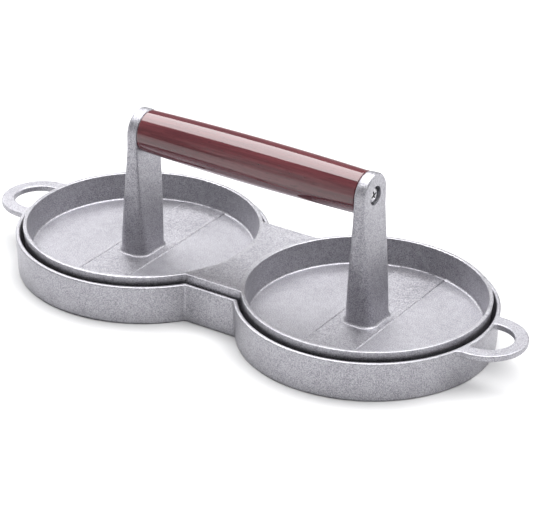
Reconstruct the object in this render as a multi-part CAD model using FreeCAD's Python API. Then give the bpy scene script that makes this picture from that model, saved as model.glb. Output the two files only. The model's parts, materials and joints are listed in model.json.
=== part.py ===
"""Double patty press: a two-well mould, a two-cup plunger with its posts, and a turned wooden grip.

Millimetres. X runs along the two wells, Y towards the back, Z up. The origin is on the table, midway
between the wells.
"""

import FreeCAD, Part
import math
import os

V = FreeCAD.Vector

# ---- driving dimensions -------------------------------------------------------------------------

WELL_X = 63.9              # each well's centre from the middle of the press

# base mould
RIM_Z = 19.9               # top of the mould's rim and of its ears
MOULD_R_TOP = 62.7         # outer wall at the rim
MOULD_R_FOOT = 61.6        # outer wall at the table: the casting's draft
WELL_R_TOP = 60.6
WELL_R_FLOOR = 59.6
WELL_FLOOR_Z = 2.8
WELL_FLOOR_FILLET = 2.0
BRIDGE_HALF_TOP = 37.4     # outer half width between the wells, at the rim
BRIDGE_HALF_FOOT = 36.4
BRIDGE_WALL = 2.0
BRIDGE_CORNER_R = 1.6      # upright hollow corner outside, between a well and the bridge
BRIDGE_EDGE_R = 1.2        # upright edge inside, where a well opens into the bridge
BRIDGE_OVERLAP = 4.0       # how far the bridge and the deck reach into the round walls
WEB_Z = 13.4               # land between the wells, where the plunger seats
FOOT_FILLET = 1.0
RIM_ROUND = 0.7
FOOT_RECESS_R = 50.0       # shallow recess that leaves a flat foot ring under each well
FOOT_RECESS_DEPTH = 0.6
POCKET_NEAR_Y = 12.0       # the two lightening pockets under the web
POCKET_FAR_Y = 33.0
POCKET_WALL_R = 62.6
POCKET_ROOF_Z = 10.2

# ears
EAR_CENTRE_X = 126.7
EAR_R = 20.0
EAR_THICKNESS = 3.2
EAR_ROOT_FILLET = 4.0
EAR_OVERLAP = 0.8          # how far the ear's root reaches into the round wall
EAR_UNDER_ROUND = 1.1
FINGER_HOLE_X = 127.8
FINGER_HOLE_R = 12.5
FINGER_HOLE_CORNER_R = 1.8

# plunger
PLUNGER_RIM_Z = 23.8
CUP_R_TOP = 59.0
CUP_R_FOOT = 57.6
CUP_BORE_R_TOP = 57.0
CUP_BORE_R_FLOOR = 55.7
PLATE_UNDER_Z = 7.8
CUP_FLOOR_Z = 10.0
CUP_FLOOR_FILLET = 1.1
PLATE_EDGE_R = 1.2
CUP_RIM_ROUND = 0.45
DECK_HALF = 34.2
DECK_THICKNESS = 2.6
SKIRT_THICKNESS = 2.0
DECK_CORNER_R = 1.4
BAND_HALF = 12.3           # raised band that the die leaves across each cup's floor
BAND_HEIGHT = 0.2
CREASE_HALF_WIDTH = 0.45   # crease along each side of the band
CREASE_DEPTH = 0.35
RING_RADII = (18.0, 32.0, 46.0)
RING_HALF_WIDTH = 0.9
RING_DEPTH = 0.5

# posts
GRIP_Z = 73.8              # axis of the grip and of its screws
POST_TOP_X = 63.4          # the posts lean in a little from their feet
POST_FOOT_X = 64.4
POST_THICKNESS = 5.8
POST_HALF_WIDTH = 10.7
POST_CORNER_R = 1.4
POST_STRAIGHT_Z = 66.0     # above this the post keeps one section
POST_FOOT_THICKNESS = 16.0
POST_FOOT_WIDTH = 21.8
POST_FOOT_CORNER_R = 6.0
POST_TAPER = 1.2           # power by which the thickness grows down to the foot
POST_SECTIONS = 8
POST_FOOT_FILLET = 1.8
COUNTERBORE_R = 4.7
COUNTERBORE_DEPTH = 4.0
SCREW_HOLE_R = 2.8

# grip
GRIP_END_R = 10.4
GRIP_MIDDLE_R = 11.3
GRIP_EDGE_ROUND = 0.7
GRIP_BORE_R = 3.5
GRIP_BORE_DEPTH = 17.0

# fasteners
SCREW_R = 2.5
SCREW_LENGTH = 16.0
SCREW_HEAD_R = 4.1
SCREW_HEAD_HEIGHT = 2.3
SCREW_HEAD_RIM = 1.035     # height of the head's upright rim, below its crown
SCREW_HEAD_FLAT_R = 1.8
SCREW_CROWN_R = 3.2
SCREW_CROWN_DROP = 0.25
SCREW_TIP_BEVEL = 0.6
CROSS_ARM = 2.45           # half the length of the cross-recess
CROSS_WIDTH = 1.0
CROSS_DEPTH = 1.4
CROSS_RISE = 0.3           # how far the cutter's mouth stands above the head
CROSS_TURN = 20            # degrees from upright to the cross
CROSS_FOOT_SHARE = 0.45    # length of the cross at its bottom, as a share of its mouth
CROSS_FOOT_WIDTH = 0.7     # and its width
WASHER_INNER_R = 2.65
WASHER_OUTER_R = 4.3
WASHER_THICKNESS = 0.8
WASHER_GAP = 0.7
WASHER_TURN = -25          # degrees from upright to the washer's slit
INSERT_R = 3.5
INSERT_RIBS = 5
INSERT_GROOVE_DEPTH = 0.35
INSERT_BORE_R = 2.55
INSERT_LENGTH = 14.0
INSERT_SETBACK = 0.5

POST_INNER_X = POST_TOP_X - POST_THICKNESS / 2.0
POST_OUTER_X = POST_TOP_X + POST_THICKNESS / 2.0
SIDES = (-1, 1)
EPS = 0.001
PAST = 1.0                 # how far a cutter runs past the surface it opens
SINK = 0.5                 # how far a piece's foot is sunk into the floor it joins
BEVEL = math.sqrt(0.5)     # a quarter arc's middle, as a share of its radius


# ---- helpers ------------------------------------------------------------------------------------

def cone(x, r_low, r_high, z_low, z_high):
    """An upright frustum."""
    return Part.makeCone(r_low, r_high, z_high - z_low, V(x, 0, z_low), V(0, 0, 1))


def disc(x, radius, z_low, z_high):
    """An upright cylinder."""
    return Part.makeCylinder(radius, z_high - z_low, V(x, 0, z_low), V(0, 0, 1))


def block(x_low, x_high, y_low, y_high, z_low, z_high):
    """A box between two corners."""
    return Part.makeBox(x_high - x_low, y_high - y_low, z_high - z_low, V(x_low, y_low, z_low))


def fuse(first, others):
    """One clean solid from shapes that touch or overlap."""
    return first.multiFuse(others).removeSplitter()


def turned(points, x, arcs):
    """A solid turned about the upright line at x from (radius, z) points.

    arcs maps the index of a point to the middle of the arc that leaves it. The rest are straight.
    """
    corners = [V(x + r, 0, z) for r, z in points]
    edges = []
    for i, start in enumerate(corners):
        end = corners[(i + 1) % len(corners)]
        if i in arcs:
            middle = V(x + arcs[i][0], 0, arcs[i][1])
            edges.append(Part.Arc(start, middle, end).toShape())
        else:
            edges.append(Part.LineSegment(start, end).toShape())
    face = Part.Face(Part.Wire(edges))
    return face.revolve(V(x, 0, 0), V(0, 0, 1), 360)


def turned_about_x(points, z):
    """A solid turned about the line along X at height z, from (x, radius) points."""
    corners = [V(px, 0, z + r) for px, r in points]
    wire = Part.makePolygon(corners + corners[:1])
    return Part.Face(wire).revolve(V(0, 0, z), V(1, 0, 0), 360)


def edges_at_height(shape, z):
    """The edges that lie wholly in the level plane z."""
    return [e for e in shape.Edges if abs(e.BoundBox.ZMin - z) < EPS and abs(e.BoundBox.ZMax - z) < EPS]


def upright_edges(shape, x, y, reach, z_low, z_high):
    """The upright edges near (x, y) and its three mirror images that span z_low to z_high."""
    found = []
    for e in shape.Edges:
        box = e.BoundBox
        near = abs(abs(box.Center.x) - x) < reach and abs(abs(box.Center.y) - y) < reach
        spans = box.ZMin < z_low + reach and box.ZMax > z_high - reach
        if near and spans and box.XLength < reach and box.YLength < reach:
            found.append(e)
    return found


def waist_x(radius, half_width):
    """Where a circle of this radius about a well's centre meets the bridge's side."""
    return WELL_X - math.sqrt(radius ** 2 - half_width ** 2)


def bridge_block(half_low, half_high, half_length, z_low, z_high):
    """The block between the wells, with drafted sides."""
    wires = []
    for half, z in ((half_low, z_low), (half_high, z_high)):
        corners = [V(sx * half_length, sy * half, z) for sx, sy in ((-1, -1), (1, -1), (1, 1), (-1, 1))]
        wires.append(Part.makePolygon(corners + corners[:1]))
    return Part.makeLoft(wires, True, True)


# ---- base mould ---------------------------------------------------------------------------------

def ear_face(z):
    """The ear's outline at the +X end, with its root blended into the round wall."""
    root_r = MOULD_R_TOP - EAR_OVERLAP
    blend_y = EAR_R + EAR_ROOT_FILLET
    blend_x = WELL_X + math.sqrt((root_r + EAR_ROOT_FILLET) ** 2 - blend_y ** 2)
    share = root_r / (root_r + EAR_ROOT_FILLET)
    wall = V(WELL_X + (blend_x - WELL_X) * share, blend_y * share, z)
    side = V(blend_x, EAR_R, z)
    centre = V(blend_x, blend_y, z)
    towards = (wall + side) * 0.5 - centre
    blend_middle = centre + towards * (EAR_ROOT_FILLET / towards.Length)
    shoulder = V(EAR_CENTRE_X, EAR_R, z)
    tip = V(EAR_CENTRE_X + EAR_R, 0, z)

    def mirrored(p):
        return V(p.x, -p.y, p.z)

    edges = [
        Part.Arc(wall, blend_middle, side).toShape(),
        Part.LineSegment(side, shoulder).toShape(),
        Part.Arc(shoulder, tip, mirrored(shoulder)).toShape(),
        Part.LineSegment(mirrored(shoulder), mirrored(side)).toShape(),
        Part.Arc(mirrored(side), mirrored(blend_middle), mirrored(wall)).toShape(),
        Part.LineSegment(mirrored(wall), wall).toShape(),
    ]
    return Part.Face(Part.Wire(edges))


def finger_hole(z_low, z_high):
    """The cutter for the +X ear's half-moon hole. Its straight sides start inside the round wall."""
    inner_r = MOULD_R_TOP - EAR_OVERLAP
    straight = block(WELL_X, FINGER_HOLE_X, -FINGER_HOLE_R, FINGER_HOLE_R, z_low, z_high)
    hole = fuse(disc(FINGER_HOLE_X, FINGER_HOLE_R, z_low, z_high), [straight])
    hole = hole.cut(disc(WELL_X, inner_r, z_low - PAST, z_high + PAST))
    corner_x = WELL_X + math.sqrt(inner_r ** 2 - FINGER_HOLE_R ** 2)
    corners = upright_edges(hole, corner_x, FINGER_HOLE_R, 0.5, z_low, z_high)
    return hole.makeFillet(FINGER_HOLE_CORNER_R, corners)


def ear(side):
    """A flat ear with its finger hole, at the left (-1) or right (1) end, its free edges rounded."""
    under_z = RIM_Z - EAR_THICKNESS
    slab = ear_face(under_z).extrude(V(0, 0, EAR_THICKNESS))
    slab = slab.cut(finger_hole(under_z - PAST, RIM_Z + PAST))
    for z, radius in ((under_z, EAR_UNDER_ROUND), (RIM_Z, RIM_ROUND)):
        free = [e for e in edges_at_height(slab, z) if outside_wall(e)]
        slab = slab.makeFillet(radius, free)
    if side < 0:
        slab = slab.mirror(V(0, 0, 0), V(1, 0, 0))
    return slab


def outside_wall(edge):
    """True when the edge's middle stands outside the part of the ear that is buried in the wall."""
    middle = edge.valueAt((edge.FirstParameter + edge.LastParameter) / 2.0)
    return math.hypot(abs(middle.x) - WELL_X, middle.y) > MOULD_R_TOP - EAR_OVERLAP + 0.05


def base_mould():
    """The lower casting: two wells, the bridge between them and an ear at each end."""
    walls = [cone(s * WELL_X, MOULD_R_FOOT, MOULD_R_TOP, 0, RIM_Z) for s in SIDES]
    corner_x = waist_x(MOULD_R_TOP, BRIDGE_HALF_TOP)
    bridge = bridge_block(BRIDGE_HALF_FOOT, BRIDGE_HALF_TOP, corner_x + BRIDGE_OVERLAP, 0, RIM_Z)
    body = fuse(walls[0], [walls[1], bridge])
    corners = upright_edges(body, corner_x, BRIDGE_HALF_TOP, 2.5, 0, RIM_Z)
    body = body.makeFillet(BRIDGE_CORNER_R, corners)
    body = body.makeFillet(FOOT_FILLET, edges_at_height(body, 0))
    body = body.makeFillet(RIM_ROUND, edges_at_height(body, RIM_Z))
    body = fuse(body, [ear(s) for s in SIDES])

    inner_half = BRIDGE_HALF_TOP - BRIDGE_WALL
    inner_x = waist_x(WELL_R_TOP, inner_half)
    slot = block(-inner_x - PAST, inner_x + PAST, -inner_half, inner_half, WEB_Z, RIM_Z + PAST)
    wells = [well_cavity(s * WELL_X) for s in SIDES]
    body = body.cut(fuse(wells[0], [wells[1], slot]))
    inner_corners = upright_edges(body, inner_x, inner_half, 1.5, WEB_Z, RIM_Z)
    body = body.makeFillet(BRIDGE_EDGE_R, inner_corners)
    body = body.makeFillet(RIM_ROUND, [e for e in edges_at_height(body, RIM_Z) if inside_wall(e)])

    for s in SIDES:
        body = body.cut(disc(s * WELL_X, FOOT_RECESS_R, -PAST, FOOT_RECESS_DEPTH))
        body = body.cut(web_pocket(s))
    return body


def inside_wall(edge):
    """True for an edge of the upper hollow: a well's mouth, the slot's side or the corner between."""
    middle = edge.valueAt((edge.FirstParameter + edge.LastParameter) / 2.0)
    in_well = math.hypot(abs(middle.x) - WELL_X, middle.y) < WELL_R_TOP + 0.05
    in_slot = abs(middle.x) < WELL_X / 2.0 and abs(middle.y) < BRIDGE_HALF_TOP - RIM_ROUND - 0.2
    return in_well or in_slot


def well_cavity(x):
    """The hollow of one well, with its floor edge rounded."""
    cavity = cone(x, WELL_R_FLOOR, WELL_R_TOP, WELL_FLOOR_Z, RIM_Z)
    cavity = cavity.makeFillet(WELL_FLOOR_FILLET, edges_at_height(cavity, WELL_FLOOR_Z))
    return fuse(cavity, [disc(x, WELL_R_TOP, RIM_Z, RIM_Z + PAST)])


def web_pocket(side):
    """One of the two hollows under the web, in front (-1) or behind (1)."""
    low = POCKET_NEAR_Y if side > 0 else -POCKET_FAR_Y
    high = POCKET_FAR_Y if side > 0 else -POCKET_NEAR_Y
    reach = waist_x(POCKET_WALL_R, POCKET_FAR_Y) + PAST
    pocket = block(-reach, reach, low, high, -PAST, POCKET_ROOF_Z)
    for s in SIDES:
        pocket = pocket.cut(disc(s * WELL_X, POCKET_WALL_R, -2 * PAST, POCKET_ROOF_Z + PAST))
    return pocket


# ---- plunger ------------------------------------------------------------------------------------

def cup(x):
    """One cup: its pressing plate below and its open wall above."""
    plate_corner = CUP_R_FOOT - PLATE_EDGE_R
    floor_corner = CUP_BORE_R_FLOOR - CUP_FLOOR_FILLET
    points = [
        (0, PLATE_UNDER_Z),
        (plate_corner, PLATE_UNDER_Z),
        (CUP_R_FOOT, PLATE_UNDER_Z + PLATE_EDGE_R),
        (CUP_R_TOP, PLUNGER_RIM_Z),
        (CUP_BORE_R_TOP, PLUNGER_RIM_Z),
        (CUP_BORE_R_FLOOR, CUP_FLOOR_Z + CUP_FLOOR_FILLET),
        (floor_corner, CUP_FLOOR_Z),
        (0, CUP_FLOOR_Z),
    ]
    arcs = {
        1: (plate_corner + PLATE_EDGE_R * BEVEL, PLATE_UNDER_Z + PLATE_EDGE_R * (1 - BEVEL)),
        5: (floor_corner + CUP_FLOOR_FILLET * BEVEL, CUP_FLOOR_Z + CUP_FLOOR_FILLET * (1 - BEVEL)),
    }
    return turned(points, x, arcs)


def deck():
    """The deck that joins the cups at their rims, with a skirt down each side."""
    reach = waist_x(CUP_R_TOP, DECK_HALF) + BRIDGE_OVERLAP
    under_z = PLUNGER_RIM_Z - DECK_THICKNESS
    plate = block(-reach, reach, -DECK_HALF, DECK_HALF, under_z, PLUNGER_RIM_Z)
    inner = DECK_HALF - SKIRT_THICKNESS
    skirts = [
        block(-reach, reach, -DECK_HALF, -inner, WEB_Z, under_z),
        block(-reach, reach, inner, DECK_HALF, WEB_Z, under_z),
    ]
    shape = fuse(plate, skirts)
    middle_of_wall = (CUP_R_FOOT + CUP_BORE_R_TOP) / 2.0
    for s in SIDES:
        shape = shape.cut(disc(s * WELL_X, middle_of_wall, 0, PLUNGER_RIM_Z + PAST))
    return shape


def floor_band(x):
    """The low raised band across a cup's floor, front to back."""
    chord = CUP_BORE_R_FLOOR - CUP_FLOOR_FILLET / 2.0
    strip = block(x - BAND_HALF, x + BAND_HALF, -chord, chord, CUP_FLOOR_Z - SINK, CUP_FLOOR_Z + BAND_HEIGHT)
    return strip.common(disc(x, chord, 0, PLUNGER_RIM_Z))


def crease(x):
    """The cutter for a crease across a cup's floor at x, front to back."""
    floor = [V(x - CREASE_HALF_WIDTH, 0, CUP_FLOOR_Z + PAST), V(x - CREASE_HALF_WIDTH, 0, CUP_FLOOR_Z),
             V(x, 0, CUP_FLOOR_Z - CREASE_DEPTH), V(x + CREASE_HALF_WIDTH, 0, CUP_FLOOR_Z),
             V(x + CREASE_HALF_WIDTH, 0, CUP_FLOOR_Z + PAST)]
    half = math.sqrt((CUP_BORE_R_FLOOR - CUP_FLOOR_FILLET) ** 2 - BAND_HALF ** 2)
    section = Part.Face(Part.makePolygon(floor + floor[:1]))
    section.translate(V(0, -half, 0))
    return section.extrude(V(0, 2 * half, 0))


def post_section(side, z):
    """The post's rounded rectangular outline at a height below its straight part."""
    down = (POST_STRAIGHT_Z - z) / (POST_STRAIGHT_Z - CUP_FLOOR_Z)
    x = side * (POST_TOP_X + (POST_FOOT_X - POST_TOP_X) * down)
    a = (POST_THICKNESS + (POST_FOOT_THICKNESS - POST_THICKNESS) * down ** POST_TAPER) / 2.0
    b = POST_HALF_WIDTH + (POST_FOOT_WIDTH / 2.0 - POST_HALF_WIDTH) * down
    corner = POST_CORNER_R + (POST_FOOT_CORNER_R - POST_CORNER_R) * down ** 2
    bevel = corner * (1 - BEVEL)
    arcs = []
    for sx, sy in ((1, 1), (-1, 1), (-1, -1), (1, -1)):
        on_side = V(x + sx * a, sy * (b - corner), z)
        on_end = V(x + sx * (a - corner), sy * b, z)
        middle = V(x + sx * (a - bevel), sy * (b - bevel), z)
        ends = (on_side, on_end) if sx * sy > 0 else (on_end, on_side)
        arcs.append((ends[0], middle, ends[1]))
    edges = []
    for i, arc in enumerate(arcs):
        following = arcs[(i + 1) % len(arcs)]
        edges.append(Part.Arc(*arc).toShape())
        edges.append(Part.LineSegment(arc[2], following[0]).toShape())
    return Part.Wire(edges)


def post(side):
    """One post, flared towards its foot and round at the top."""
    start_z = CUP_FLOOR_Z - SINK
    step = (POST_STRAIGHT_Z - start_z) / (POST_SECTIONS - 1.0)
    sections = [post_section(side, start_z + i * step) for i in range(POST_SECTIONS)]
    shank = Part.makeLoft(sections, True, False)
    half = POST_HALF_WIDTH
    low_x = side * POST_TOP_X - POST_THICKNESS / 2.0
    corners = [V(low_x, -half, GRIP_Z), V(low_x, -half, POST_STRAIGHT_Z),
               V(low_x, half, POST_STRAIGHT_Z), V(low_x, half, GRIP_Z)]
    edges = [Part.LineSegment(corners[i], corners[i + 1]).toShape() for i in range(3)]
    edges.append(Part.Arc(corners[3], V(low_x, 0, GRIP_Z + half), corners[0]).toShape())
    head = Part.Face(Part.Wire(edges)).extrude(V(POST_THICKNESS, 0, 0))
    rounded = [e for e in head.Edges
               if e.BoundBox.XLength < EPS and e.BoundBox.ZMax > POST_STRAIGHT_Z + PAST]
    head = head.makeFillet(POST_CORNER_R, rounded)
    return fuse(shank, [head])


def screw_bore(side):
    """The counterbored screw hole through one post's head."""
    outwards = V(side, 0, 0)
    hole = Part.makeCylinder(SCREW_HOLE_R, POST_THICKNESS + 2 * PAST,
                             V(side * (POST_INNER_X - PAST), 0, GRIP_Z), outwards)
    seat_x = POST_OUTER_X - COUNTERBORE_DEPTH
    seat = Part.makeCylinder(COUNTERBORE_R, COUNTERBORE_DEPTH + PAST, V(side * seat_x, 0, GRIP_Z), outwards)
    return fuse(hole, [seat])


def pressing_ring(x, radius):
    """A shallow groove turned in a pressing plate's underside."""
    corners = [V(x + radius - RING_HALF_WIDTH, 0, PLATE_UNDER_Z - PAST),
               V(x + radius - RING_HALF_WIDTH, 0, PLATE_UNDER_Z),
               V(x + radius, 0, PLATE_UNDER_Z + RING_DEPTH),
               V(x + radius + RING_HALF_WIDTH, 0, PLATE_UNDER_Z),
               V(x + radius + RING_HALF_WIDTH, 0, PLATE_UNDER_Z - PAST)]
    face = Part.Face(Part.makePolygon(corners + corners[:1]))
    return face.revolve(V(x, 0, 0), V(0, 0, 1), 360)


def press_plunger():
    """The upper casting: two cups, the deck between them and the two posts."""
    cups = [cup(s * WELL_X) for s in SIDES]
    body = fuse(cups[0], [cups[1], deck()])
    corner_x = waist_x(CUP_R_TOP, DECK_HALF)
    corners = upright_edges(body, corner_x, DECK_HALF, 2.5, WEB_Z, PLUNGER_RIM_Z)
    body = body.makeFillet(DECK_CORNER_R, corners)
    body = body.makeFillet(CUP_RIM_ROUND, edges_at_height(body, PLUNGER_RIM_Z))
    body = fuse(body, [post(s) for s in SIDES])
    feet = [e for e in edges_at_height(body, CUP_FLOOR_Z) if e.BoundBox.XLength < 2 * POST_FOOT_THICKNESS]
    body = body.makeFillet(POST_FOOT_FILLET, feet)
    body = fuse(body, [floor_band(s * WELL_X) for s in SIDES])
    for s in SIDES:
        for edge in SIDES:
            body = body.cut(crease(s * WELL_X + edge * BAND_HALF))
        body = body.cut(screw_bore(s))
        for radius in RING_RADII:
            body = body.cut(pressing_ring(s * WELL_X, radius))
    return body


# ---- grip and fasteners -------------------------------------------------------------------------

def handle_grip():
    """The barrel-shaped wooden grip, bored at each end for a threaded insert."""
    end = POST_INNER_X
    shoulder = end - GRIP_EDGE_ROUND
    face_r = GRIP_END_R - GRIP_EDGE_ROUND

    def at(x, r):
        return V(x, 0, GRIP_Z + r)

    def round_middle(s):
        return at(s * (shoulder + GRIP_EDGE_ROUND * BEVEL), face_r + GRIP_EDGE_ROUND * BEVEL)

    edges = [
        Part.LineSegment(at(-end, 0), at(-end, face_r)).toShape(),
        Part.Arc(at(-end, face_r), round_middle(-1), at(-shoulder, GRIP_END_R)).toShape(),
        Part.Arc(at(-shoulder, GRIP_END_R), at(0, GRIP_MIDDLE_R), at(shoulder, GRIP_END_R)).toShape(),
        Part.Arc(at(shoulder, GRIP_END_R), round_middle(1), at(end, face_r)).toShape(),
        Part.LineSegment(at(end, face_r), at(end, 0)).toShape(),
        Part.LineSegment(at(end, 0), at(-end, 0)).toShape(),
    ]
    grip = Part.Face(Part.Wire(edges)).revolve(V(0, 0, GRIP_Z), V(1, 0, 0), 360)
    for s in SIDES:
        mouth = V(s * (end + PAST), 0, GRIP_Z)
        bore = Part.makeCylinder(GRIP_BORE_R, GRIP_BORE_DEPTH + PAST, mouth, V(-s, 0, 0))
        grip = grip.cut(bore)
    return grip


def lock_washer(side):
    """A split spring washer under the screw's head."""
    seat_x = POST_OUTER_X - COUNTERBORE_DEPTH
    start = V(side * seat_x, 0, GRIP_Z)
    outwards = V(side, 0, 0)
    ring = Part.makeCylinder(WASHER_OUTER_R, WASHER_THICKNESS, start, outwards)
    ring = ring.cut(Part.makeCylinder(WASHER_INNER_R, WASHER_THICKNESS, start, outwards))
    slit = block(-PAST, PAST, -WASHER_GAP / 2.0, WASHER_GAP / 2.0, 0, WASHER_OUTER_R + PAST)
    slit.rotate(V(0, 0, 0), V(1, 0, 0), WASHER_TURN)
    slit.translate(start)
    return ring.cut(slit)


def handle_screw(side):
    """A pan-head machine screw with a cross-recess, its head towards the outside."""
    under_x = POST_OUTER_X - COUNTERBORE_DEPTH + WASHER_THICKNESS
    top_x = under_x + SCREW_HEAD_HEIGHT
    tip_x = under_x - SCREW_LENGTH
    rim_x = under_x + SCREW_HEAD_RIM
    crown_x = top_x - SCREW_CROWN_DROP
    bevel_x = tip_x + SCREW_TIP_BEVEL
    tip_r = SCREW_R - SCREW_TIP_BEVEL
    flat_r = SCREW_HEAD_FLAT_R

    def at(x, r):
        return V(x, 0, GRIP_Z + r)

    edges = [
        Part.LineSegment(at(tip_x, 0), at(tip_x, tip_r)).toShape(),
        Part.LineSegment(at(tip_x, tip_r), at(bevel_x, SCREW_R)).toShape(),
        Part.LineSegment(at(bevel_x, SCREW_R), at(under_x, SCREW_R)).toShape(),
        Part.LineSegment(at(under_x, SCREW_R), at(under_x, SCREW_HEAD_R)).toShape(),
        Part.LineSegment(at(under_x, SCREW_HEAD_R), at(rim_x, SCREW_HEAD_R)).toShape(),
        Part.Arc(at(rim_x, SCREW_HEAD_R), at(crown_x, SCREW_CROWN_R), at(top_x, flat_r)).toShape(),
        Part.LineSegment(at(top_x, flat_r), at(top_x, 0)).toShape(),
        Part.LineSegment(at(top_x, 0), at(tip_x, 0)).toShape(),
    ]
    screw = Part.Face(Part.Wire(edges)).revolve(V(0, 0, GRIP_Z), V(1, 0, 0), 360)
    screw = screw.cut(cross_recess(top_x))
    if side < 0:
        screw = screw.mirror(V(0, 0, 0), V(1, 0, 0))
    return screw


def cross_recess(top_x):
    """Two crossed tapering slots with a pointed middle."""
    cross = None
    for turn in (0, 90):
        half = CROSS_WIDTH / 2.0
        wires = []
        foot = (top_x - CROSS_DEPTH, CROSS_ARM * CROSS_FOOT_SHARE, half * CROSS_FOOT_WIDTH)
        for x, arm, half_width in (foot, (top_x + CROSS_RISE, CROSS_ARM, half)):
            corners = [V(x, sy * arm, sz * half_width) for sy, sz in ((-1, -1), (1, -1), (1, 1), (-1, 1))]
            wires.append(Part.makePolygon(corners + corners[:1]))
        slot = Part.makeLoft(wires, True, True)
        slot.rotate(V(0, 0, 0), V(1, 0, 0), turn + CROSS_TURN)
        cross = slot if cross is None else cross.fuse(slot)
    cross.translate(V(0, 0, GRIP_Z))
    return cross


def threaded_insert(side):
    """A ribbed insert set in the grip's end for the screw."""
    outer_x = POST_INNER_X - INSERT_SETBACK
    inner_x = outer_x - INSERT_LENGTH
    steps = 2 * INSERT_RIBS - 1
    pitch = INSERT_LENGTH / steps
    points = [(inner_x, INSERT_BORE_R)]
    for i in range(steps):
        radius = INSERT_R if i % 2 == 0 else INSERT_R - INSERT_GROOVE_DEPTH
        points.append((inner_x + i * pitch, radius))
        points.append((inner_x + (i + 1) * pitch, radius))
    points.append((outer_x, INSERT_BORE_R))
    insert = turned_about_x(points, GRIP_Z)
    if side < 0:
        insert = insert.mirror(V(0, 0, 0), V(1, 0, 0))
    return insert


# ---- nodes --------------------------------------------------------------------------------------

def as_solid(shape):
    """The shape's single solid."""
    solids = shape.Solids
    if len(solids) != 1:
        raise RuntimeError("expected one solid, found %d" % len(solids))
    solid = solids[0]
    if not solid.isValid():
        raise RuntimeError("a solid is not valid")
    return solid


def main():
    """Build every node and write its STEP file."""
    os.makedirs("parts", exist_ok=True)
    nodes = {
        "base_mould": base_mould(),
        "press_plunger": press_plunger(),
        "handle_grip": handle_grip(),
    }
    for word, side in (("left", -1), ("right", 1)):
        nodes["handle_screw_" + word] = handle_screw(side)
        nodes["lock_washer_" + word] = lock_washer(side)
        nodes["threaded_insert_" + word] = threaded_insert(side)
    for name, shape in nodes.items():
        solid = as_solid(shape)
        solid.exportStep(os.path.join("parts", name + ".step"))
        box = solid.optimalBoundingBox(False)
        print("%-24s %8.1f mm3  x %.2f..%.2f  y %.2f..%.2f  z %.2f..%.2f"
              % (name, solid.Volume, box.XMin, box.XMax, box.YMin, box.YMax, box.ZMin, box.ZMax))


main()
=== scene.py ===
"""Looks for the patty press: cast aluminium, lacquered wood, zinc-plated steel and brass, in a plain studio.

Metres, in the CAD frame: X along the two wells, Y towards the back, Z up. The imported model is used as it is,
and this script gives it its materials, the light, the floor and the camera. Sizes inside a material are in
millimetres.
"""

import bpy
import json
import math
from mathutils import Matrix, Vector


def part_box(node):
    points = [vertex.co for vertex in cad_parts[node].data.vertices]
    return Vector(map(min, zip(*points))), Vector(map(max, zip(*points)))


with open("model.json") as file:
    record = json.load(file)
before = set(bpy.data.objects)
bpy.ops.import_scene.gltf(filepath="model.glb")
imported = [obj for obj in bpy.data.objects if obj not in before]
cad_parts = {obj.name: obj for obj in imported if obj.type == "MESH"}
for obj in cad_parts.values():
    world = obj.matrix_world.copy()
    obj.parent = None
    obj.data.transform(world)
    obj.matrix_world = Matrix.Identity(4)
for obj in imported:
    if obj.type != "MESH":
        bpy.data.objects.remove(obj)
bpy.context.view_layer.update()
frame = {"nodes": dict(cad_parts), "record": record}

MM = 0.001

# ---- camera: placed round the middle of the press -----------------------------------------------
CAMERA_AIM = Vector((0.0, 0.0, 0.020))
CAMERA_AZIMUTH = math.radians(32.19)       # from the front towards the right-hand ear
CAMERA_ELEVATION = math.radians(27.07)
CAMERA_ROLL = math.radians(1.20)
CAMERA_DISTANCE = 1.180
CAMERA_SHIFT_RIGHT = 0.00685               # the camera moves sideways and up, square to its view
CAMERA_SHIFT_UP = 0.00125
LENS_MM = 166.05
SENSOR_MM = 36.0

# ---- studio -------------------------------------------------------------------------------------
SOFTBOX_HEIGHT = 1.8
SOFTBOX_FRONT = -0.55                      # the softbox's edges, over the floor
SOFTBOX_BACK = 1.58
SOFTBOX_LEFT = -2.3
SOFTBOX_RIGHT = 1.7
SOFTBOX_RADIANCE = 5.5
SIDE_PANEL_PLACE = Vector((1.7, 2.2, 0.75))  # the weaker panel behind the press, at the right
SIDE_PANEL_SIZE = (1.8, 1.3)               # width and height
SIDE_PANEL_RADIANCE = 1.8
SWEEP_FRONT = -4.5                         # the pale floor, which curves up at the back
SWEEP_CURVE_START = 2.6
SWEEP_RADIUS = 1.2
SWEEP_TOP = 1.35
SWEEP_HALF_WIDTH = 4.5
SWEEP_CURVE_STEPS = 24
SWEEP_COLOUR = (0.60, 0.60, 0.603)
BOARD_FRONT = -2.5                         # the white board that stands in front
BOARD_TOP = 3.2
BOARD_LEFT_FOOT = -1.45                    # its left edge slants outwards
BOARD_LEFT_TOP = -2.35
BOARD_RIGHT = 3.2
BOARD_COLOUR = (0.86, 0.86, 0.865)
SIDE_BOARD_X = -1.9                        # the white board that stands at the left
SIDE_BOARD_FRONT = -0.9
SIDE_BOARD_BACK = 1.9
SIDE_BOARD_TOP = 1.1
ROOM_COLOUR = (0.29, 0.29, 0.30)
FLOOR_GAP = 0.05 * MM                      # keeps the floor just under the press's feet


# ---- node-tree helpers --------------------------------------------------------------------------

def new_material(name):
    """An empty node material with its shader and its place on the object in millimetres."""
    material = bpy.data.materials.new(name)
    material.use_nodes = True
    tree = material.node_tree
    tree.nodes.clear()
    output = tree.nodes.new("ShaderNodeOutputMaterial")
    shader = tree.nodes.new("ShaderNodeBsdfPrincipled")
    tree.links.new(shader.outputs["BSDF"], output.inputs["Surface"])
    place = tree.nodes.new("ShaderNodeTexCoord").outputs["Object"]
    millimetres = scaled(tree, place, (1 / MM, 1 / MM, 1 / MM))
    return material, tree, shader, millimetres


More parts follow.
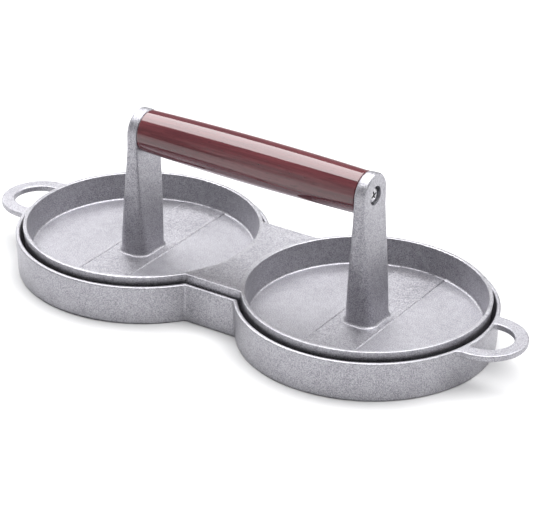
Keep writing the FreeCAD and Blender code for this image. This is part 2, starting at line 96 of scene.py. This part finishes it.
def scaled(tree, vector, factors):
    """A vector times a factor along each axis."""
    node = tree.nodes.new("ShaderNodeVectorMath")
    node.operation = "MULTIPLY"
    tree.links.new(vector, node.inputs[0])
    node.inputs[1].default_value = factors
    return node.outputs[0]


def noise(tree, vector, size, detail=2.0, roughness=0.5, distortion=0.0):
    """Noise whose lumps are about size millimetres across, from 0 to 1."""
    node = tree.nodes.new("ShaderNodeTexNoise")
    node.inputs["Scale"].default_value = 1.0 / size
    node.inputs["Detail"].default_value = detail
    node.inputs["Roughness"].default_value = roughness
    node.inputs["Distortion"].default_value = distortion
    tree.links.new(vector, node.inputs["Vector"])
    return node.outputs["Fac"]


def spread(tree, value, low, high, new_low, new_high):
    """A value mapped from one range to another, and held inside it."""
    node = tree.nodes.new("ShaderNodeMapRange")
    node.interpolation_type = "SMOOTHSTEP"
    tree.links.new(value, node.inputs["Value"])
    node.inputs["From Min"].default_value = low
    node.inputs["From Max"].default_value = high
    node.inputs["To Min"].default_value = new_low
    node.inputs["To Max"].default_value = new_high
    return node.outputs["Result"]


def combined(tree, operation, first, second=0.0):
    """Two values, or a value and a number, through one math operation. SQRT, say, takes only the first."""
    node = tree.nodes.new("ShaderNodeMath")
    node.operation = operation
    for socket, item in zip(node.inputs, (first, second)):
        if isinstance(item, (int, float)):
            socket.default_value = item
        else:
            tree.links.new(item, socket)
    return node.outputs[0]


def weighted(tree, values, weights):
    """The sum of three values, each times its weight."""
    first, second, third = (combined(tree, "MULTIPLY", v, w) for v, w in zip(values, weights))
    return combined(tree, "ADD", first, combined(tree, "ADD", second, third))


def axes_of(tree, place):
    """A place's X, Y and Z."""
    node = tree.nodes.new("ShaderNodeSeparateXYZ")
    tree.links.new(place, node.inputs[0])
    return node.outputs["X"], node.outputs["Y"], node.outputs["Z"]


def distance(tree, across, along):
    """The length of a line from its two legs."""
    squares = combined(tree, "ADD", combined(tree, "MULTIPLY", across, across),
                       combined(tree, "MULTIPLY", along, along))
    return combined(tree, "SQRT", squares)


def mixed_colour(tree, share, first, second):
    """A colour between two, by share. Each is a plain colour or another node's output."""
    node = tree.nodes.new("ShaderNodeMix")
    node.data_type = "RGBA"
    tree.links.new(share, node.inputs["Factor"])
    for socket, item in ((node.inputs["A"], first), (node.inputs["B"], second)):
        if isinstance(item, tuple):
            socket.default_value = (*item, 1.0)
        else:
            tree.links.new(item, socket)
    return node.outputs["Result"]


def bumped(tree, shader, height, depth_mm, before=None):
    """Roughens the shader's surface by a height from 0 to 1 that stands depth_mm tall."""
    node = tree.nodes.new("ShaderNodeBump")
    node.inputs["Strength"].default_value = 1.0
    node.inputs["Distance"].default_value = depth_mm * MM
    tree.links.new(height, node.inputs["Height"])
    if before is not None:
        tree.links.new(before, node.inputs["Normal"])
    tree.links.new(node.outputs["Normal"], shader.inputs["Normal"])
    return node.outputs["Normal"]


# ---- materials ----------------------------------------------------------------------------------

CASTING_LIGHT = (0.495, 0.488, 0.520)
CASTING_DARK = (0.235, 0.232, 0.255)
CASTING_RUBBED = (0.50, 0.495, 0.515)
MOULD_ROUGHNESS = 0.45
PLUNGER_ROUGHNESS = 0.41
CLOUD_SIZE = 26.0
MOTTLE_SIZE = 3.2
GRIT_SIZE = 0.50
TONE_WEIGHTS = (0.12, 0.13, 0.75)          # how much clouds, mottle and grit count in the tone
MOTTLE_DEPTH = 0.05
GRIT_DEPTH = 0.16
WELL_X = 63.9                              # each well's centre from the middle
MOULD_RIM = (60.3, 62.9, 19.9)             # the rims' inner and outer radius and their height
PLUNGER_RIM = (56.8, 59.2, 23.8)
RIM_WEAR_DEPTH = 0.5
RIM_WEAR_SHARE = 0.35                      # how far the rubbed colour goes at its strongest
RIM_WEAR_POLISH = 0.06                     # and how much smoother it is there
RIM_PATCH_SIZE = 7.0


def rim_wear(tree, place, rim):
    """How much a rim's top and edges are rubbed, from 0 to 1, in broken patches."""
    inner, outer, height = rim
    x, y, z = axes_of(tree, place)
    radius = distance(tree, combined(tree, "SUBTRACT", combined(tree, "ABSOLUTE", x), WELL_X), y)
    on_ring = combined(tree, "MULTIPLY", spread(tree, radius, inner - 0.3, inner, 0.0, 1.0),
                       spread(tree, radius, outer, outer + 0.3, 1.0, 0.0))
    near_top = combined(tree, "MULTIPLY", spread(tree, z, height - RIM_WEAR_DEPTH, height - 0.1, 0.0, 1.0),
                        spread(tree, z, height + 0.1, height + 0.2, 1.0, 0.0))
    patchy = noise(tree, place, RIM_PATCH_SIZE, detail=4.0, roughness=0.65)
    patches = spread(tree, patchy, 0.38, 0.62, 0.35, 1.0)
    return combined(tree, "MULTIPLY", combined(tree, "MULTIPLY", on_ring, near_top), patches)


def cast_aluminium(name, roughness, rim):
    """Shot-blasted cast aluminium: fine grit over soft clouds of tone, rubbed bright along its rims."""
    material, tree, shader, place = new_material(name)
    clouds = noise(tree, place, CLOUD_SIZE, detail=4.0, roughness=0.55, distortion=0.4)
    mottle = noise(tree, place, MOTTLE_SIZE, detail=3.0, roughness=0.6)
    grit = noise(tree, place, GRIT_SIZE, detail=2.0, roughness=0.6)
    tone = weighted(tree, (clouds, mottle, grit), TONE_WEIGHTS)
    blasted = mixed_colour(tree, spread(tree, tone, 0.36, 0.64, 0.0, 1.0), CASTING_DARK, CASTING_LIGHT)
    rubbed = combined(tree, "MULTIPLY", rim_wear(tree, place, rim), RIM_WEAR_SHARE)
    tree.links.new(mixed_colour(tree, rubbed, blasted, CASTING_RUBBED), shader.inputs["Base Color"])
    shader.inputs["Metallic"].default_value = 1.0
    dulled = spread(tree, tone, 0.35, 0.65, roughness - 0.05, roughness + 0.06)
    polished = combined(tree, "MULTIPLY", rubbed, RIM_WEAR_POLISH)
    tree.links.new(combined(tree, "SUBTRACT", dulled, polished), shader.inputs["Roughness"])
    coarse = bumped(tree, shader, mottle, MOTTLE_DEPTH)
    bumped(tree, shader, grit, GRIT_DEPTH, before=coarse)
    return material


STAIN_DARK = (0.070, 0.013, 0.017)
STAIN_LIGHT = (0.110, 0.024, 0.029)
PORE_COLOUR = (0.030, 0.006, 0.008)
PORE_SHARE = 0.55                          # how far the darkest pores go towards their colour
FIGURE_SIZE = 2.6                          # across the grain
PORE_SIZE = 0.45
HANDLED_SIZE = 9.0
ORANGE_PEEL_SIZE = 5.0
ORANGE_PEEL_DEPTH = 0.035
LACQUER_IOR = 1.72
LACQUER_ROUGHNESS = (0.05, 0.12)           # where it is clean, and where hands have dulled it


def lengthened(tree, place, factor):
    """A place squeezed along X, so that a pattern laid on it is drawn out along X."""
    return scaled(tree, place, (factor, 1.0, 1.0))


def lacquered_wood(name):
    """Dark red-brown stained wood, its grain along X, under a gloss lacquer."""
    material, tree, shader, place = new_material(name)
    grain = lengthened(tree, place, 0.045)
    figure = noise(tree, grain, FIGURE_SIZE, detail=4.0, roughness=0.6, distortion=0.8)
    pores = noise(tree, lengthened(tree, place, 0.12), PORE_SIZE, detail=2.0, roughness=0.5)
    stained = mixed_colour(tree, spread(tree, figure, 0.36, 0.66, 0.0, 1.0), STAIN_DARK, STAIN_LIGHT)
    colour = mixed_colour(tree, spread(tree, pores, 0.58, 0.72, 0.0, PORE_SHARE), stained, PORE_COLOUR)
    tree.links.new(colour, shader.inputs["Base Color"])
    shader.inputs["Roughness"].default_value = 0.38
    shader.inputs["IOR"].default_value = 1.55
    shader.inputs["Specular IOR Level"].default_value = 0.0
    shader.inputs["Coat Weight"].default_value = 1.0
    handled = noise(tree, lengthened(tree, place, 0.5), HANDLED_SIZE, detail=4.0, roughness=0.6)
    tree.links.new(spread(tree, handled, 0.4, 0.65, *LACQUER_ROUGHNESS), shader.inputs["Coat Roughness"])
    shader.inputs["Coat IOR"].default_value = LACQUER_IOR
    orange_peel = noise(tree, lengthened(tree, place, 0.35), ORANGE_PEEL_SIZE, detail=2.0)
    normal = bumped(tree, shader, orange_peel, ORANGE_PEEL_DEPTH)
    tree.links.new(normal, shader.inputs["Coat Normal"])
    return material


BRIGHT_ZINC = ((0.36, 0.36, 0.38), (0.52, 0.52, 0.54))   # each plating's darker and lighter tone
BRIGHT_ZINC_ROUGHNESS = 0.32
DULL_ZINC = ((0.38, 0.38, 0.40), (0.54, 0.54, 0.56))
DULL_ZINC_ROUGHNESS = 0.38
RECESS_R = 2.6                             # reach of the cross-recess from the screw's axis
# painted shade: a near-black colour that stands in for the shade inside the screw's cross-recess
RECESS_PAINTED_SHADE = (0.05, 0.05, 0.052)
TURNED_RINGS = 42.0                        # turning marks, in radians for each millimetre of radius
TURNED_DEPTH = 0.004
SPECK_SIZE = 0.35
SPECK_DEPTH = 0.01


def plated_steel(name, tones, roughness):
    """Zinc-plated steel with fine turned rings about the screws' axis, small blemishes, and painted shade: the
    cross-recess is coloured near black.
    """
    material, tree, shader, place = new_material(name)
    x, y, z = axes_of(tree, place)
    low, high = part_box("handle_screw_right")
    axis_z = (low[2] + high[2]) / 2.0 / MM
    radius = distance(tree, combined(tree, "SUBTRACT", z, axis_z), y)
    rings = combined(tree, "SINE", combined(tree, "MULTIPLY", radius, TURNED_RINGS))
    specks = noise(tree, place, SPECK_SIZE, detail=3.0, roughness=0.6)
    # painted shade: inside RECESS_R, and from about 0.15 mm below the crown's face inwards, the colour turns
    # near black
    under_crown = combined(tree, "SUBTRACT", high[0] / MM, combined(tree, "ABSOLUTE", x))
    painted_recess_shade = combined(tree, "MULTIPLY", spread(tree, under_crown, 0.15, 0.45, 0.0, 1.0),
                    spread(tree, radius, RECESS_R - 0.15, RECESS_R + 0.05, 1.0, 0.0))
    clean = mixed_colour(tree, spread(tree, specks, 0.35, 0.65, 0.0, 1.0), *tones)
    tree.links.new(mixed_colour(tree, painted_recess_shade, clean, RECESS_PAINTED_SHADE), shader.inputs["Base Color"])
    shader.inputs["Metallic"].default_value = 1.0
    dulled = spread(tree, specks, 0.3, 0.7, roughness - 0.06, roughness + 0.08)
    tree.links.new(dulled, shader.inputs["Roughness"])
    turned = bumped(tree, shader, spread(tree, rings, -1.0, 1.0, 0.0, 1.0), TURNED_DEPTH)
    bumped(tree, shader, specks, SPECK_DEPTH, before=turned)
    return material


BRASS_BRIGHT = (0.80, 0.60, 0.27)
BRASS_TARNISHED = (0.52, 0.36, 0.15)
BRASS_ROUGHNESS = (0.22, 0.42)             # where it is bright, and where it is tarnished
TARNISH_SIZE = 1.6
CUT_SIZE = 0.18                            # tool marks along X
CUT_DEPTH = 0.01


def machined_brass(name):
    """Turned brass, slightly tarnished in patches."""
    material, tree, shader, place = new_material(name)
    tarnish = noise(tree, place, TARNISH_SIZE, detail=3.0, roughness=0.6)
    cuts = noise(tree, scaled(tree, place, (1.0, 0.02, 0.02)), CUT_SIZE, detail=1.0)
    share = spread(tree, tarnish, 0.4, 0.65, 0.0, 1.0)
    tree.links.new(mixed_colour(tree, share, BRASS_BRIGHT, BRASS_TARNISHED), shader.inputs["Base Color"])
    shader.inputs["Metallic"].default_value = 1.0
    tree.links.new(spread(tree, tarnish, 0.3, 0.7, *BRASS_ROUGHNESS), shader.inputs["Roughness"])
    bumped(tree, shader, cuts, CUT_DEPTH)
    return material


def paint_nodes():
    """Gives every CAD node its material."""
    finishes = {
        "screw_steel": plated_steel("zinc_plated_steel", BRIGHT_ZINC, BRIGHT_ZINC_ROUGHNESS),
        "washer_steel": plated_steel("dull_plated_steel", DULL_ZINC, DULL_ZINC_ROUGHNESS),
        "mould_casting": cast_aluminium("mould_cast_aluminium", MOULD_ROUGHNESS, MOULD_RIM),
        "plunger_casting": cast_aluminium("plunger_cast_aluminium", PLUNGER_ROUGHNESS, PLUNGER_RIM),
        "lacquered_wood": lacquered_wood("lacquered_wood_gloss"),
        "insert_brass": machined_brass("machined_brass"),
    }
    slots = {part["node"]: part["material_slot"] for part in frame["record"]["subparts"]}
    for node, thing in frame["nodes"].items():
        for slot in thing.material_slots:
            slot.material = finishes[slots[node]]


# ---- studio -------------------------------------------------------------------------------------

def studio_sweep():
    """A plain pale floor that curves up at the back."""
    floor_z = -FLOOR_GAP
    profile = [(SWEEP_FRONT, floor_z), (SWEEP_CURVE_START, floor_z)]
    for i in range(1, SWEEP_CURVE_STEPS + 1):
        turn = math.radians(90.0) * i / SWEEP_CURVE_STEPS
        profile.append((SWEEP_CURVE_START + SWEEP_RADIUS * math.sin(turn),
                        floor_z + SWEEP_RADIUS * (1 - math.cos(turn))))
    profile.append((SWEEP_CURVE_START + SWEEP_RADIUS, SWEEP_TOP))
    points = []
    for y, z in profile:
        points += [(-SWEEP_HALF_WIDTH, y, z), (SWEEP_HALF_WIDTH, y, z)]
    faces = [(2 * i, 2 * i + 1, 2 * i + 3, 2 * i + 2) for i in range(len(profile) - 1)]
    staged("studio_sweep", points, faces, SWEEP_COLOUR)


def front_board():
    """A white board in front of the press, which fills in the lower half of the grip and the walls."""
    points = [(BOARD_LEFT_FOOT, BOARD_FRONT, 0.0), (BOARD_RIGHT, BOARD_FRONT, 0.0),
              (BOARD_RIGHT, BOARD_FRONT, BOARD_TOP), (BOARD_LEFT_TOP, BOARD_FRONT, BOARD_TOP)]
    staged("front_board", points, [(0, 1, 2, 3)], BOARD_COLOUR)


def side_board():
    """A low white board at the left, which brightens the walls that face it."""
    corners = ((SIDE_BOARD_FRONT, 0.0), (SIDE_BOARD_BACK, 0.0),
               (SIDE_BOARD_BACK, SIDE_BOARD_TOP), (SIDE_BOARD_FRONT, SIDE_BOARD_TOP))
    points = [(SIDE_BOARD_X, y, z) for y, z in corners]
    staged("side_board", points, [(0, 1, 2, 3)], BOARD_COLOUR)


def staged(name, points, faces, colour):
    """A matt painted piece of the studio."""
    mesh = bpy.data.meshes.new(name)
    mesh.from_pydata(points, [], faces)
    mesh.shade_smooth()
    thing = bpy.data.objects.new(name, mesh)
    bpy.context.scene.collection.objects.link(thing)
    material, tree, shader, _ = new_material(name + "_paint")
    shader.inputs["Base Color"].default_value = (*colour, 1.0)
    shader.inputs["Roughness"].default_value = 0.9
    shader.inputs["Specular IOR Level"].default_value = 0.1
    mesh.materials.append(material)


def softbox():
    """One wide softbox overhead, reaching further back than forward."""
    middle_x = (SOFTBOX_LEFT + SOFTBOX_RIGHT) / 2.0
    middle_y = (SOFTBOX_FRONT + SOFTBOX_BACK) / 2.0
    place = Vector((middle_x, middle_y, SOFTBOX_HEIGHT))
    below = Vector((middle_x, middle_y, 0.0))
    size = (SOFTBOX_RIGHT - SOFTBOX_LEFT, SOFTBOX_BACK - SOFTBOX_FRONT)
    panel_light("softbox", place, below, size, SOFTBOX_RADIANCE)


def side_panel():
    """A weaker panel that catches the posts' outer faces."""
    panel_light("side_panel", SIDE_PANEL_PLACE, CAMERA_AIM, SIDE_PANEL_SIZE, SIDE_PANEL_RADIANCE)


def panel_light(name, place, target, size, radiance):
    """A rectangular light at a place, turned to face a target."""
    width, height = size
    light = bpy.data.lights.new(name, "AREA")
    light.shape = "RECTANGLE"
    light.size = width
    light.size_y = height
    light.energy = radiance * math.pi * width * height
    lamp = bpy.data.objects.new(name, light)
    lamp.rotation_mode = "QUATERNION"
    lamp.rotation_quaternion = (target - place).to_track_quat("-Z", "Y")
    lamp.location = place
    bpy.context.scene.collection.objects.link(lamp)


def room():
    """The dim room round the studio."""
    world = bpy.data.worlds.new("room")
    world.use_nodes = True
    world.node_tree.nodes["Background"].inputs["Color"].default_value = (*ROOM_COLOUR, 1.0)
    bpy.context.scene.world = world


def camera():
    """The camera, at the press's three-quarter view from above the right-hand end."""
    back = Vector((math.sin(CAMERA_AZIMUTH) * math.cos(CAMERA_ELEVATION),
                   -math.cos(CAMERA_AZIMUTH) * math.cos(CAMERA_ELEVATION),
                   math.sin(CAMERA_ELEVATION)))
    level_right = Vector((math.cos(CAMERA_AZIMUTH), math.sin(CAMERA_AZIMUTH), 0.0))
    level_up = back.cross(level_right)
    right = math.cos(CAMERA_ROLL) * level_right + math.sin(CAMERA_ROLL) * level_up
    up = back.cross(right)
    place = CAMERA_AIM + back * CAMERA_DISTANCE + right * CAMERA_SHIFT_RIGHT + up * CAMERA_SHIFT_UP
    lens = bpy.data.cameras.new("camera")
    lens.lens = LENS_MM
    lens.sensor_width = SENSOR_MM
    lens.clip_end = 30.0
    view = bpy.data.objects.new("camera", lens)
    turn = Matrix((right, up, back)).transposed().to_4x4()
    view.matrix_world = Matrix.Translation(place) @ turn
    bpy.context.scene.collection.objects.link(view)
    bpy.context.scene.camera = view


paint_nodes()
studio_sweep()
front_board()
side_board()
softbox()
side_panel()
room()
camera()
bpy.context.scene.view_settings.view_transform = "Standard"
